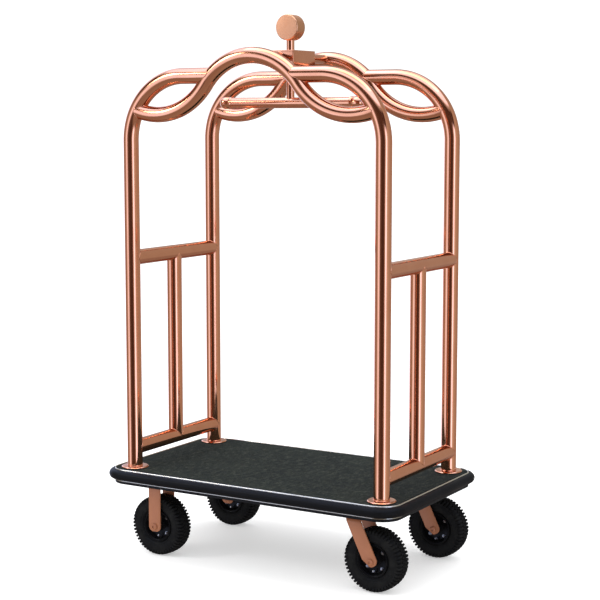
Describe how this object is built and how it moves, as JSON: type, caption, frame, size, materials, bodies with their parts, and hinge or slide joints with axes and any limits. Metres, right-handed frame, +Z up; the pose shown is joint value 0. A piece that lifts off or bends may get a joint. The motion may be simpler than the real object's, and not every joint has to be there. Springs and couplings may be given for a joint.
{
  "type": "hotel luggage cart",
  "caption": "Birdcage luggage cart: carpeted deck with rubber bumper, arched tube frame with wave top rails, hanging rail and finial, on pneumatic fixed and swivel casters.",
  "frame": {"origin": "on the floor under the middle of the deck", "axes": "+X along the deck's length towards the swivel casters, +Y across it towards the rear long side, +Z up"},
  "size_m": [1.103, 0.645, 1.775],
  "materials": {
    "rose_gold": "rose-gold coated stainless tube, polished with a fine lengthwise brush",
    "fork_steel": "rose-gold coated steel strip, satin",
    "zinc_nut": "bright zinc plate",
    "bright_trim": "polished bright metal strip",
    "carpet": "dense short cut pile, dark charcoal green",
    "plywood": "raw birch plywood",
    "bumper_rubber": "smooth satin black rubber",
    "black_steel": "semi-gloss black powder coat",
    "tyre_rubber": "matt black moulded rubber with a block tread",
    "rim_black": "gloss black painted pressed steel"
  },
  "bodies": {
    "cart_frame": {"deck_pan": "black_steel", "pan_stiffener_left": "black_steel", "pan_stiffener_right": "black_steel", "deck_board": "plywood", "carpet": "carpet", "bumper": "bumper_rubber", "trim_top": "bright_trim", "trim_bottom": "bright_trim", "post_front_left": "rose_gold", "post_flange_front_left": "rose_gold", "post_front_right": "rose_gold", "post_flange_front_right": "rose_gold", "post_rear_left": "rose_gold", "post_flange_rear_left": "rose_gold", "post_rear_right": "rose_gold", "post_flange_rear_right": "rose_gold", "wave_tube_front": "rose_gold", "wave_tube_rear": "rose_gold", "crown_box": "rose_gold", "crown_neck_front": "rose_gold", "crown_neck_rear": "rose_gold", "finial_drum": "rose_gold", "finial_stem": "rose_gold", "hanger_rod": "rose_gold", "hanging_rail": "rose_gold", "hanging_rail_cap_left": "rose_gold", "hanging_rail_cap_right": "rose_gold", "lower_rail_left": "rose_gold", "upper_rail_left": "rose_gold", "baluster_left": "rose_gold", "lower_rail_right": "rose_gold", "upper_rail_right": "rose_gold", "baluster_right": "rose_gold", "caster_plate_front_left": "fork_steel", "fork_front_left": "fork_steel", "axle_bolt_front_left": "fork_steel", "axle_nut_front_left": "zinc_nut", "caster_plate_front_right": "fork_steel", "caster_plate_rear_left": "fork_steel", "fork_rear_left": "fork_steel", "axle_bolt_rear_left": "fork_steel", "axle_nut_rear_left": "zinc_nut", "caster_plate_rear_right": "fork_steel", "swivel_race_front_right": "fork_steel", "swivel_race_rear_right": "fork_steel"},
    "wheel_front_left": {"tyre_front_left": "tyre_rubber", "rim_front_left": "rim_black"},
    "wheel_front_right": {"tyre_front_right": "tyre_rubber", "rim_front_right": "rim_black"},
    "wheel_rear_left": {"tyre_rear_left": "tyre_rubber", "rim_rear_left": "rim_black"},
    "wheel_rear_right": {"tyre_rear_right": "tyre_rubber", "rim_rear_right": "rim_black"},
    "swivel_front_right": {"fork_front_right": "fork_steel", "axle_bolt_front_right": "fork_steel", "axle_nut_front_right": "zinc_nut"},
    "swivel_rear_right": {"fork_rear_right": "fork_steel", "axle_bolt_rear_right": "fork_steel", "axle_nut_rear_right": "zinc_nut"}
  },
  "joints": [
    {"name": "caster_swivel_front_right", "type": "hinge", "parent": "cart_frame", "child": "swivel_front_right", "pos_m": [0.37, -0.219, 0.23], "axis": [0, 0, 1], "continuous": true},
    {"name": "caster_swivel_rear_right", "type": "hinge", "parent": "cart_frame", "child": "swivel_rear_right", "pos_m": [0.37, 0.219, 0.23], "axis": [0, 0, 1], "continuous": true},
    {"name": "wheel_spin_front_left", "type": "hinge", "parent": "cart_frame", "child": "wheel_front_left", "pos_m": [-0.37, -0.219, 0.1], "axis": [0, 1, 0], "continuous": true},
    {"name": "wheel_spin_front_right", "type": "hinge", "parent": "swivel_front_right", "child": "wheel_front_right", "pos_m": [0.439, -0.219, 0.1], "axis": [0, 1, 0], "continuous": true},
    {"name": "wheel_spin_rear_left", "type": "hinge", "parent": "cart_frame", "child": "wheel_rear_left", "pos_m": [-0.37, 0.219, 0.1], "axis": [0, 1, 0], "continuous": true},
    {"name": "wheel_spin_rear_right", "type": "hinge", "parent": "swivel_rear_right", "child": "wheel_rear_right", "pos_m": [0.439, 0.219, 0.1], "axis": [0, 1, 0], "continuous": true}
  ]
}
